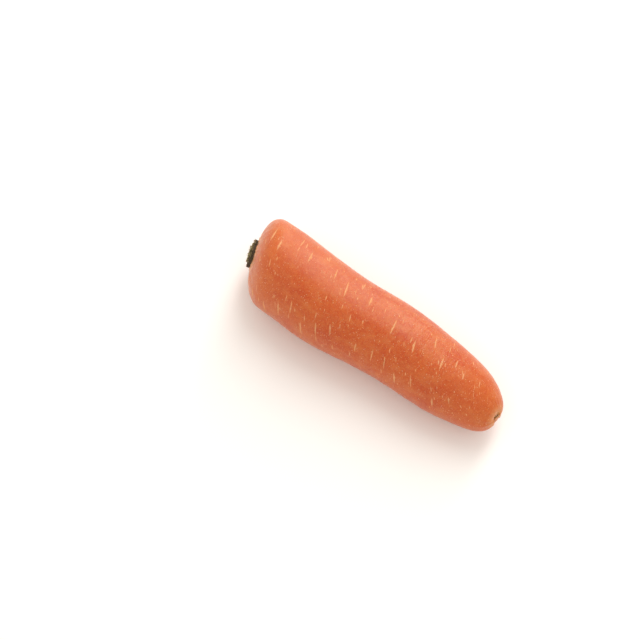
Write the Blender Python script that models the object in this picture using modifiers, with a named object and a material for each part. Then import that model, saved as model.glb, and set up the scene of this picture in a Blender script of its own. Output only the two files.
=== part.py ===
"""A topped carrot lying on its side: the root, and the cut leaf stalks that stand in its crown.

Units are metres. +X runs from the crown to the tip, +Z is up, and the root rests on Z = 0.
The root is made straight, by turning its outline, and is then bent, swollen and laid down.
"""

import math

import bmesh
import bpy
from mathutils import Matrix, Vector, noise

# Sections of the root: distance from the crown, radius, and how far the middle stands to +Y
SECTIONS = (
    (0.000, 0.0262, 0.0000),
    (0.026, 0.0263, 0.0002),
    (0.046, 0.0256, -0.0004),
    (0.067, 0.0240, 0.0006),
    (0.087, 0.0232, 0.0034),
    (0.107, 0.0225, 0.0045),
    (0.130, 0.0214, 0.0044),
    (0.151, 0.0206, 0.0044),
    (0.170, 0.0199, 0.0022),
)
ROOT_LENGTH = SECTIONS[-1][0]
SHOULDER_RADIUS = SECTIONS[0][1]

# The crown end: a rounded shoulder round a face that looks aside and up
CROWN_ROUNDING = 0.0140
CROWN_ROUNDNESS = 2.35
CROWN_ASIDE = math.radians(20.0)
CROWN_UP = math.radians(8.0)
CROWN_TURN_ENDS = 0.085  # distance from the crown by which the sections stand square again

# The tip: a blunt round end, with the shallow furrow that the broken tail root left
TIP_STARTS = 0.117
TIP_ROUNDNESS = 2.6
FURROW_DEPTH = 0.0015
FURROW_WIDTH = 0.0021
FURROW_LENGTH = 0.0050

# The low swellings of the skin, and how the root lies
SWELLING = 0.0005
SWELLING_SIZE = 0.034
BELLY_ARCH = 0.0008  # how far the middle of the underside stands off the floor
FLAT_CUT = 0.0004  # what is taken off the underside where it bears on the floor

# The well in the crown
WELL_RADIUS = 0.0096
WELL_DEPTH = 0.0022
LIP = 0.0006

# The leaf stalks, cut short: crescents that clasp each other round the heart
GAP = 0.0003
STALKS = 8
DRY_STALKS = 3  # the outermost ones, which have withered
GOLDEN_ANGLE = math.radians(137.5)
FIRST_STALK_RADIUS = 0.00235
STALK_STEP = 0.00072
STALK_THICKNESS = 0.0016
STALK_EDGE = 0.00025
STALK_HALF_ANGLE = math.radians(58.0)
FRESH_HEIGHT = 0.0050
DRY_HEIGHT = 0.0041
HEIGHT_VARIES = 0.0003
HEART_RADIUS = 0.0019
HEART_HEIGHT = 0.0042

# How finely the shapes are divided
ROUND_STEPS = 44
CROWN_STEPS = 8
BODY_STEPS = 17
TIP_STEPS = 12
STALK_ARC_STEPS = 8
HEART_STEPS = 16

ORANGE = (0.70, 0.17, 0.045, 1.0)
OLIVE = (0.34, 0.30, 0.12, 1.0)
DARK_BROWN = (0.075, 0.042, 0.018, 1.0)


def clear_scene():
    for obj in list(bpy.data.objects):
        bpy.data.objects.remove(obj)


def new_collection(name):
    made = bpy.data.collections.new(name)
    bpy.context.scene.collection.children.link(made)
    return made


def new_material(name, colour, roughness):
    made = bpy.data.materials.new(name)
    made.use_nodes = True
    shader = made.node_tree.nodes["Principled BSDF"]
    shader.inputs["Base Color"].default_value = colour
    shader.inputs["Roughness"].default_value = roughness
    shader.inputs["Metallic"].default_value = 0.0
    return made


def smoothstep(low, high, value):
    share = min(1.0, max(0.0, (value - low) / (high - low)))
    return share * share * (3.0 - 2.0 * share)


def section_slope(index, column):
    """How fast this column of SECTIONS changes at this row, from the rows on either side."""
    before = SECTIONS[max(index - 1, 0)]
    after = SECTIONS[min(index + 1, len(SECTIONS) - 1)]
    return (after[column] - before[column]) / (after[0] - before[0])


def section_value(along, column):
    """This column of SECTIONS at any distance from the crown, on a smooth curve through the rows."""
    along = min(max(along, 0.0), ROOT_LENGTH)
    index = max(i for i, row in enumerate(SECTIONS[:-1]) if row[0] <= along)
    before, after = SECTIONS[index], SECTIONS[index + 1]
    step = after[0] - before[0]
    share = (along - before[0]) / step
    rest = 1.0 - share
    value = before[column] * (1.0 + 2.0 * share) * rest**2
    value += after[column] * (1.0 + 2.0 * rest) * share**2
    value += section_slope(index, column) * step * share * rest**2
    value -= section_slope(index + 1, column) * step * rest * share**2
    return value


def radius_at(along):
    return section_value(along, 1)


def crown_profile():
    """(radius, distance along) from the well's lip, round the shoulder, to the root's full width."""
    power = 2.0 / CROWN_ROUNDNESS
    start = math.asin(((WELL_RADIUS + LIP) / SHOULDER_RADIUS) ** (1.0 / power))
    points = []
    for step in range(CROWN_STEPS):
        angle = start + (math.pi / 2.0 - start) * step / CROWN_STEPS
        along = CROWN_ROUNDING * (1.0 - math.cos(angle) ** power)
        points.append((radius_at(along) * math.sin(angle) ** power, along))
    return points


def body_profile():
    points = []
    for step in range(BODY_STEPS):
        along = CROWN_ROUNDING + (TIP_STARTS - CROWN_ROUNDING) * step / BODY_STEPS
        points.append((radius_at(along), along))
    return points


def tip_profile():
    """(radius, distance along) round the tip, down to the axis."""
    power = 2.0 / TIP_ROUNDNESS
    points = []
    for step in range(TIP_STEPS):
        angle = math.pi / 2.0 * step / TIP_STEPS
        along = TIP_STARTS + (ROOT_LENGTH - TIP_STARTS) * math.sin(angle) ** power
        points.append((radius_at(along) * math.cos(angle) ** power, along))
    nose_radius = points[-1][0]
    for share in (0.55, 0.25):
        points.append((nose_radius * share, ROOT_LENGTH))
    points.append((0.0, ROOT_LENGTH))
    return points


def root_profile():
    """The whole outline, from the middle of the well's floor out over the shoulder to the tip."""
    lip_along = crown_profile()[0][1]
    floor_along = lip_along + WELL_DEPTH
    well = [
        (0.0, floor_along),
        (WELL_RADIUS * 0.5, floor_along),
        (WELL_RADIUS - LIP, floor_along),
        (WELL_RADIUS, floor_along - LIP),
        (WELL_RADIUS, lip_along + LIP),
    ]
    return well + crown_profile() + body_profile() + tip_profile()


def turned(name, profile):
    """A mesh turned about Z from (radius, distance below the top); the profile ends on the axis."""
    outline = bpy.data.meshes.new(name + "_outline")
    points = [(radius, 0.0, -along) for radius, along in profile]
    edges = [(i, i + 1) for i in range(len(points) - 1)]
    outline.from_pydata(points, edges, [])
    obj = bpy.data.objects.new(name + "_outline", outline)
    bpy.context.scene.collection.objects.link(obj)
    screw = obj.modifiers.new("turn", "SCREW")
    screw.axis = "Z"
    screw.steps = ROUND_STEPS
    screw.render_steps = ROUND_STEPS
    screw.use_merge_vertices = True
    screw.merge_threshold = 0.00002
    graph = bpy.context.evaluated_depsgraph_get()
    mesh = bpy.data.meshes.new_from_object(obj.evaluated_get(graph))
    bpy.data.objects.remove(obj)
    bpy.data.meshes.remove(outline)
    mesh.name = name
    return mesh


def belly_height(along):
    """How far the underside stands off the floor: nothing at the ends, most in the middle."""
    share = min(1.0, max(0.0, along / ROOT_LENGTH))
    return BELLY_ARCH * math.sin(math.pi * share) ** 2


def middle_at(along):
    """The middle of the section at this distance from the crown."""
    return Vector((along, section_value(along, 2), radius_at(along) + belly_height(along)))


def section_turn(along):
    """How a section is turned: as the crown's face at the crown, and square to X further on."""
    share = 1.0 - smoothstep(CROWN_ROUNDING, CROWN_TURN_ENDS, along)
    aside = Matrix.Rotation(CROWN_ASIDE * share, 3, "Z")
    return aside @ Matrix.Rotation(CROWN_UP * share, 3, "Y")


def swelling_at(side, height, along):
    """What the skin stands out by, which fades to nothing inside the crown's lip."""
    place = Vector((along, side, height)) / SWELLING_SIZE
    outside = smoothstep(WELL_RADIUS + LIP, SHOULDER_RADIUS * 0.8, math.hypot(side, height))
    near_tip = smoothstep(TIP_STARTS, ROOT_LENGTH, along)
    return SWELLING * noise.noise(place) * max(outside, near_tip)


def furrow_at(side, height, along):
    """How far the tip is sunk: a short furrow across its end, upright as the root lies."""
    across = (side / FURROW_WIDTH) ** 2 + (height / FURROW_LENGTH) ** 2
    return FURROW_DEPTH * math.exp(-across) * smoothstep(TIP_STARTS, ROOT_LENGTH, along)


def grown(point):
    """Where a point of the straight, turned shape lies on the bent and swollen root."""
    along, side, height = -point.z, point.x, point.y
    radius = max(math.hypot(side, height), 0.0001)
    swollen = 1.0 + swelling_at(side, height, along) / radius
    offset = Vector((-furrow_at(side, height, along), side * swollen, height * swollen))
    return middle_at(along) + section_turn(along) @ offset


def levelling_turn(mesh):
    """The small turn about Y that brings the root's two ends to bear on the floor alike."""
    halfway = ROOT_LENGTH / 2.0
    front = min((v.co for v in mesh.vertices if v.co.x < halfway), key=lambda co: co.z)
    back = min((v.co for v in mesh.vertices if v.co.x >= halfway), key=lambda co: co.z)
    return Matrix.Rotation(math.atan2(back.z - front.z, back.x - front.x), 4, "Y")


def flatten_underside(mesh):
    """Cuts the lowest skin off level, which leaves a flat patch near each end."""
    floor = min(vertex.co.z for vertex in mesh.vertices) + FLAT_CUT
    shape = bmesh.new()
    shape.from_mesh(mesh)
    cut = bmesh.ops.bisect_plane(
        shape,
        geom=shape.verts[:] + shape.edges[:] + shape.faces[:],
        plane_co=(0.0, 0.0, floor),
        plane_no=(0.0, 0.0, 1.0),
        clear_inner=True,
    )
    rims = [item for item in cut["geom_cut"] if isinstance(item, bmesh.types.BMEdge)]
    bmesh.ops.edgeloop_fill(shape, edges=rims)
    bmesh.ops.recalc_face_normals(shape, faces=shape.faces)
    shape.to_mesh(mesh)
    shape.free()


def make_root(collection, holder, skin):
    """The root and the small turn that levelled it."""
    mesh = turned("root", root_profile())
    for vertex in mesh.vertices:
        vertex.co = grown(vertex.co)
    levelled = levelling_turn(mesh)
    mesh.transform(levelled)
    flatten_underside(mesh)
    mesh.shade_smooth()
    mesh.set_sharp_from_angle(angle=math.radians(40.0))
    mesh.materials.append(skin)
    root = bpy.data.objects.new("root", mesh)
    collection.objects.link(root)
    root.parent = holder
    return levelled


def crown_frame(holder, levelled):
    """An empty in the middle of the well's floor, with its Z pointing out of the crown."""
    floor_along = crown_profile()[0][1] + WELL_DEPTH
    facing = section_turn(0.0).to_4x4() @ Matrix.Rotation(math.radians(-90.0), 4, "Y")
    empty = bpy.data.objects.new("crown_frame", None)
    bpy.context.scene.collection.objects.link(empty)
    empty.parent = holder
    empty.matrix_local = levelled @ Matrix.Translation(middle_at(floor_along)) @ facing
    return empty


def crescent(inside):
    """A cut stalk's outline: thickest in its middle, and thin where it clasps the next stalk in."""
    back, front = [], []
    for step in range(STALK_ARC_STEPS + 1):
        share = 2.0 * step / STALK_ARC_STEPS - 1.0
        angle = STALK_HALF_ANGLE * share
        outside = inside + STALK_EDGE + (STALK_THICKNESS - STALK_EDGE) * (1.0 - share**2)
        back.append((outside * math.cos(angle), outside * math.sin(angle)))
        front.append((inside * math.cos(angle), inside * math.sin(angle)))
    return back + front[::-1]


def make_stalk(index, collection, crown, material):
    """A flat curve, thickened: each stalk is further out and a golden angle on from the last."""
    height = FRESH_HEIGHT if index < STALKS - DRY_STALKS else DRY_HEIGHT
    height += HEIGHT_VARIES * math.sin(index * 2.0)
    outline = crescent(FIRST_STALK_RADIUS + STALK_STEP * index)
    name = f"leaf_stalk_{index + 1}"
    curve = bpy.data.curves.new(name, "CURVE")
    curve.dimensions = "2D"
    curve.fill_mode = "BOTH"
    curve.extrude = height / 2.0
    spline = curve.splines.new("POLY")
    spline.points.add(len(outline) - 1)
    for point, (x, y) in zip(spline.points, outline):
        point.co = (x, y, 0.0, 1.0)
    spline.use_cyclic_u = True
    curve.materials.append(material)
    stalk = bpy.data.objects.new(name, curve)
    collection.objects.link(stalk)
    stalk.parent = crown
    stalk.location = (0.0, 0.0, GAP + height / 2.0)
    stalk.rotation_euler = (0.0, 0.0, GOLDEN_ANGLE * index)


def make_heart(collection, crown, material):
    """The growing point in the middle: a low round bud on a straight foot."""
    foot = HEART_HEIGHT - HEART_RADIUS
    mesh = bpy.data.meshes.new("heart_bud")
    shape = bmesh.new()
    bmesh.ops.create_uvsphere(
        shape, u_segments=HEART_STEPS, v_segments=HEART_STEPS // 2, radius=HEART_RADIUS
    )
    lower = [vertex for vertex in shape.verts if vertex.co.z < -0.0001]
    bmesh.ops.delete(shape, geom=lower, context="VERTS")
    rim = [edge for edge in shape.edges if edge.is_boundary]
    walls = bmesh.ops.extrude_edge_only(shape, edges=rim)["geom"]
    bottom = [item for item in walls if isinstance(item, bmesh.types.BMVert)]
    bmesh.ops.translate(shape, verts=bottom, vec=(0.0, 0.0, -foot))
    bmesh.ops.contextual_create(shape, geom=bottom)
    bmesh.ops.recalc_face_normals(shape, faces=shape.faces)
    shape.to_mesh(mesh)
    shape.free()
    mesh.shade_smooth()
    mesh.set_sharp_from_angle(angle=math.radians(40.0))
    mesh.materials.append(material)
    heart = bpy.data.objects.new("heart_bud", mesh)
    collection.objects.link(heart)
    heart.parent = crown
    heart.location = (0.0, 0.0, GAP + foot)


def stand_on_origin(collection, holder):
    """Moves the whole carrot so that the middle of its box's underside is at the origin."""
    bpy.context.view_layer.update()
    graph = bpy.context.evaluated_depsgraph_get()
    points = []
    for obj in collection.objects:
        evaluated = obj.evaluated_get(graph)
        points += [obj.matrix_world @ vertex.co for vertex in evaluated.to_mesh().vertices]
        evaluated.to_mesh_clear()
    middle_x = (min(p.x for p in points) + max(p.x for p in points)) / 2.0
    middle_y = (min(p.y for p in points) + max(p.y for p in points)) / 2.0
    holder.location = (-middle_x, -middle_y, -min(p.z for p in points))


def main():
    clear_scene()
    carrot = new_collection("carrot")
    holder = bpy.data.objects.new("carrot_frame", None)
    bpy.context.scene.collection.objects.link(holder)
    skin = new_material("root_skin", ORANGE, 0.45)
    fresh = new_material("fresh_stalk", OLIVE, 0.7)
    dry = new_material("dry_stalk", DARK_BROWN, 0.8)
    levelled = make_root(carrot, holder, skin)
    crown = crown_frame(holder, levelled)
    make_heart(carrot, crown, fresh)
    for index in range(STALKS):
        make_stalk(index, carrot, crown, fresh if index < STALKS - DRY_STALKS else dry)
    stand_on_origin(carrot, holder)


main()
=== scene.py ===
# %% [markdown]
# # A topped carrot
#
# The carrot lies on a pale table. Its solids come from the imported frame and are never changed: one for
# the root, one for the heart of the crown, and one for each cut leaf stalk. This script gives them their
# looks. It stretches a fine skin over the root, carves the root scars into it, grows the crescent leaf
# stalks, and colours all of it.

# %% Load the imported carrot
import math

import bpy
from mathutils import Euler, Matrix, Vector


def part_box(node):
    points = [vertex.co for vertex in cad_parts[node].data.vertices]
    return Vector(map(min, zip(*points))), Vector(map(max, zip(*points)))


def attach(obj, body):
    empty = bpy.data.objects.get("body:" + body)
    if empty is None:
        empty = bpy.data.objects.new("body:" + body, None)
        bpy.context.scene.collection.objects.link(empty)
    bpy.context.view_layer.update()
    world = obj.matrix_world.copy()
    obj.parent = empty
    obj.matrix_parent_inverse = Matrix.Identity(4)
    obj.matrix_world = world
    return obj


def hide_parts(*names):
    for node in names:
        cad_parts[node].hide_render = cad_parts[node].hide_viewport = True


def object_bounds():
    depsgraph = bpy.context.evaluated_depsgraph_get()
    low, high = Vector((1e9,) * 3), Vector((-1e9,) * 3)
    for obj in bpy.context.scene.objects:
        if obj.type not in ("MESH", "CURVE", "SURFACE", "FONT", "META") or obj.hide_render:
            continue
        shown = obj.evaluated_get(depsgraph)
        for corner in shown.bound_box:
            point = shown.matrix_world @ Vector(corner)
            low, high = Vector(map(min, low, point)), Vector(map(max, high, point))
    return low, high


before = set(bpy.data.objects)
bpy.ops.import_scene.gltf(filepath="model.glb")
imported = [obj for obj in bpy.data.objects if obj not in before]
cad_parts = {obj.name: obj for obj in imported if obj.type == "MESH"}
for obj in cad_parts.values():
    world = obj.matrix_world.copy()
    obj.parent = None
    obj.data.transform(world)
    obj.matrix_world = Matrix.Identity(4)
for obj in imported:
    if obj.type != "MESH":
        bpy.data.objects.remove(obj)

SOLID_LOW, SOLID_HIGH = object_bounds()
MM = 0.001
print("solid box, mm:", [round(v / MM, 1) for v in (*SOLID_LOW, *SOLID_HIGH)])

# %% [markdown]
# ## Two small helpers
#
# Every tree here, of shader or geometry nodes, is built by one function that adds a node, sets its
# properties, and fills its inputs with a value or with a link from an earlier node. Colours are written
# as the hex values a colour picker shows, and turned to the linear values that a renderer works in.


# %% Helpers for nodes and colours
def add_node(tree, kind, inputs=None, **settings):
    """Adds a node. inputs maps a socket's name or number to a value, a node or a socket."""
    made = tree.nodes.new(kind)
    for name, value in settings.items():
        setattr(made, name, value)
    for key, value in (inputs or {}).items():
        if isinstance(value, bpy.types.Node):
            value = next(socket for socket in value.outputs if socket.enabled)
        if isinstance(value, bpy.types.NodeSocket):
            tree.links.new(value, made.inputs[key])
        else:
            made.inputs[key].default_value = value
    return made


def hex_colour(code):
    """A linear RGBA colour from an sRGB hex value such as 'e0703a'."""
    channels = [int(code[i : i + 2], 16) / 255 for i in (0, 2, 4)]
    linear = [c / 12.92 if c <= 0.04045 else ((c + 0.055) / 1.055) ** 2.4 for c in channels]
    return (*linear, 1.0)


print("helpers ready: add_node, hex_colour")

# %% [markdown]
# ## Camera
#
# The carrot lies on its side, and a camera that looks steeply down on it sees the crown at the upper
# left and the tip at the lower right. The slope that the root has in the picture fixes how far the
# camera is turned. A long lens from over a metre away keeps the taper true.

# %% Camera
CAMERA_HEIGHT_ANGLE = math.radians(70.0)
PICTURE_SLOPE = 0.698  # drop over run of the root's line in the picture
CAMERA_TURN = math.atan(PICTURE_SLOPE / math.sin(CAMERA_HEIGHT_ANGLE))
CAMERA_DISTANCE = 1.30
PICTURE_WIDTH = 0.3635  # what the picture spans at the carrot
CARROT_RIGHT, CARROT_BELOW = 0.0289, 0.0066  # where the carrot is, from the picture's middle

towards_camera = Vector((
    math.sin(CAMERA_TURN) * math.cos(CAMERA_HEIGHT_ANGLE),
    -math.cos(CAMERA_TURN) * math.cos(CAMERA_HEIGHT_ANGLE),
    math.sin(CAMERA_HEIGHT_ANGLE),
))
picture_right = Vector((math.cos(CAMERA_TURN), math.sin(CAMERA_TURN), 0.0))
picture_up = towards_camera.cross(picture_right)
carrot_middle = (SOLID_LOW + SOLID_HIGH) / 2
picture_middle = carrot_middle - picture_right * CARROT_RIGHT + picture_up * CARROT_BELOW

camera = bpy.data.objects.new("camera", bpy.data.cameras.new("camera"))
bpy.context.scene.collection.objects.link(camera)
camera.data.lens = camera.data.sensor_width * CAMERA_DISTANCE / PICTURE_WIDTH
camera.location = picture_middle + towards_camera * CAMERA_DISTANCE
camera.rotation_euler = towards_camera.to_track_quat("Z", "Y").to_euler()
camera.data.clip_start, camera.data.clip_end = 0.05, 20.0
bpy.context.scene.camera = camera
print(f"lens {camera.data.lens:.0f} mm, turned {math.degrees(CAMERA_TURN):.1f} degrees")

# %% [markdown]
# ## Table and light
#
# A product picture on white needs three things: a table that is nearly white and matt, a large soft
# light from above and behind for the broad sheen along the root's upper side, and even light all round
# that keeps the shadow side warm and open. One area light is the softbox, and the world is the room.

# %% Table, softbox and room
TABLE_SIZE = 6.0
PAPER_ROUGHNESS = 0.9
# square to the root and behind it, where its upper side mirrors the light to the camera
TOWARDS_SOFTBOX = Vector((-0.13, 0.74, 0.66)).normalized()
SOFTBOX_DISTANCE, SOFTBOX_WIDTH, SOFTBOX_HEIGHT = 1.0, 0.34, 1.5
SOFTBOX_WATTS = 7.6
ROOM_STRENGTH = 0.94

table_mesh = bpy.data.meshes.new("table_top")
half = TABLE_SIZE / 2
table_mesh.from_pydata(
    [(-half, -half, 0), (half, -half, 0), (half, half, 0), (-half, half, 0)], [], [(0, 1, 2, 3)]
)
table = bpy.data.objects.new("table_top", table_mesh)
bpy.context.scene.collection.objects.link(table)

paper = bpy.data.materials.new("matt_white_paper")
paper.use_nodes = True
paper_shader = paper.node_tree.nodes["Principled BSDF"]
paper_shader.inputs["Base Color"].default_value = hex_colour("fafafa")
paper_shader.inputs["Roughness"].default_value = PAPER_ROUGHNESS
table_mesh.materials.append(paper)

softbox_light = bpy.data.lights.new("back_softbox", "AREA")
softbox_light.shape = "RECTANGLE"
softbox_light.size, softbox_light.size_y = SOFTBOX_WIDTH, SOFTBOX_HEIGHT
softbox_light.energy = SOFTBOX_WATTS
softbox_light.color = hex_colour("fffdfa")[:3]
softbox = bpy.data.objects.new("back_softbox", softbox_light)
bpy.context.scene.collection.objects.link(softbox)
softbox.location = carrot_middle + TOWARDS_SOFTBOX * SOFTBOX_DISTANCE
softbox.rotation_euler = TOWARDS_SOFTBOX.to_track_quat("Z", "Y").to_euler()

room = bpy.data.worlds.new("white_room")
room.use_nodes = True
room.node_tree.nodes["Background"].inputs["Color"].default_value = hex_colour("fff9f0")
room.node_tree.nodes["Background"].inputs["Strength"].default_value = ROOM_STRENGTH
bpy.context.scene.world = room
bpy.context.scene.view_settings.view_transform = "Standard"
print("table", TABLE_SIZE, "m wide, one large softbox and a white room")

# %% [markdown]
# ## Running a geometry tree
#
# Each tree below is a recipe with named sizes. The last of these helpers puts it on an object with an
# empty mesh, sets its inputs by their identifiers, lets Blender work it out once, and keeps the result
# as a plain mesh. The modifier goes away with that object, so nothing live is left in the scene.


# %% Building and running geometry trees
SOCKET_KINDS = {int: "NodeSocketInt", float: "NodeSocketFloat"}  # anything else is an object


def new_geometry_tree(name, sizes):
    """A geometry tree with one named input for each size, and the sockets that those inputs come in by."""
    tree = bpy.data.node_groups.new(name, "GeometryNodeTree")
    tree.interface.new_socket("Geometry", in_out="OUTPUT", socket_type="NodeSocketGeometry")
    for label, value in sizes.items():
        kind = SOCKET_KINDS.get(type(value), "NodeSocketObject")
        tree.interface.new_socket(label, in_out="INPUT", socket_type=kind)
    return tree, tree.nodes.new("NodeGroupInput").outputs


def finish_tree(tree, geometry, material):
    """Ends a tree in Realize Instances and Set Material."""
    real = add_node(tree, "GeometryNodeRealizeInstances", {0: geometry})
    dressed = add_node(tree, "GeometryNodeSetMaterial", {"Geometry": real, "Material": material})
    add_node(tree, "NodeGroupOutput", {0: dressed})


def grow(name, tree, sizes):
    """Runs a tree with these sizes and returns an object that holds the result as a plain mesh."""
    helper = bpy.data.objects.new(name + "_helper", bpy.data.meshes.new(name + "_helper"))
    bpy.context.scene.collection.objects.link(helper)
    modifier = helper.modifiers.new("recipe", "NODES")
    modifier.node_group = tree
    for item in tree.interface.items_tree:
        if item.in_out == "INPUT":
            modifier[item.identifier] = sizes[item.name]
    graph = bpy.context.evaluated_depsgraph_get()
    mesh = bpy.data.meshes.new_from_object(helper.evaluated_get(graph))
    bpy.data.objects.remove(helper)
    mesh.name = name
    made = bpy.data.objects.new(name, mesh)
    bpy.context.scene.collection.objects.link(made)
    triangles = sum(len(face.vertices) - 2 for face in mesh.polygons)
    print(f"{name}: {len(mesh.vertices)} points, {triangles} triangles")
    return made


print("helpers ready: new_geometry_tree, finish_tree, grow")

# %% [markdown]
# ## The root's skin
#
# A carrot's root is one swollen taproot. Its solid in the frame is right in shape but coarse, so a fine
# skin is wrapped over it: a grid of rings whose points are thrown outwards, as rays, from a line inside
# the root until they meet the solid. The rings fan round at the tip, and at the crown they lie parallel
# to its face and end at the lip of the well, whose wall and floor follow two small curves. Rings are set
# about three times closer along the root than points are round it, because everything that marks a
# carrot's skin, its scars and its creases, runs across it.

# %% Where the crown is
CROWN_ASIDE, CROWN_UP = math.radians(20.0), math.radians(8.0)  # the way the crown's face is turned
WELL_RADIUS, WELL_DEPTH, LIP = 9.6 * MM, 2.2 * MM, 0.6 * MM
GAP = 0.3 * MM  # what the frame leaves between two pieces
FOOT_SLICE = 0.1 * MM  # how much of the heart, from its lowest point up, counts as its foot
TIP_ASIDE, TIP_DROP = 2.2 * MM, 4.0 * MM  # where the tip is, from the line through the root's middle
crown_turn = Euler((0.0, CROWN_UP, CROWN_ASIDE))
crown_outward = crown_turn.to_matrix() @ Vector((-1.0, 0.0, 0.0))

heart_points = [vertex.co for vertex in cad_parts["heart_bud"].data.vertices]
foot_height = min(point.dot(crown_outward) for point in heart_points)
foot = [p for p in heart_points if p.dot(crown_outward) < foot_height + FOOT_SLICE]
heart_foot = (Vector(map(min, *foot)) + Vector(map(max, *foot))) / 2
well_middle = heart_foot - crown_outward * GAP
crown_middle = well_middle + crown_outward * WELL_DEPTH
root_low, root_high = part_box("root")
root_middle_height = (root_low.z + root_high.z) / 2
tip_end = Vector((root_high.x, carrot_middle.y + TIP_ASIDE, root_middle_height - TIP_DROP))
print("crown at, mm:", [round(v / MM, 1) for v in crown_middle])

# %% [markdown]
# The tree below is that recipe. First comes the wrapping: where each ray starts, which way it goes, and
# what it meets.


# %% Wrapping a fine skin over the solid
WELL_SHARE, SHOULDER_SHARE, BODY_SHARE = 0.055, 0.20, 0.82  # share of the rings where each ends
SHOULDER_INSET, TIP_INSET = 17 * MM, 24 * MM  # how far inside the ends the rays fan out from
LIP_LEAN = math.atan2(SHOULDER_INSET, WELL_RADIUS + LIP)
TURN_FADES = 0.55  # share of the body by which the rings stand square to the root
RAY_LENGTH = 0.2  # longer than the root
JOIN_SOLID, JOIN_SKIN = 0.01 * MM, 0.001 * MM  # points closer than this become one
WELL_ENDS = 0.999  # share of the well from which on a point lies on the solid
WELL_CURVES = {
    "outward": [(0.0, 0.0), (0.50, 0.90), (0.58, 0.94), (0.80, 0.945), (0.92, 0.965), (1.0, 1.0)],
    "down": [(0.0, 1.0), (0.50, 1.0), (0.58, 0.92), (0.80, 0.30), (0.92, 0.05), (1.0, 0.0)],
}


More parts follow.
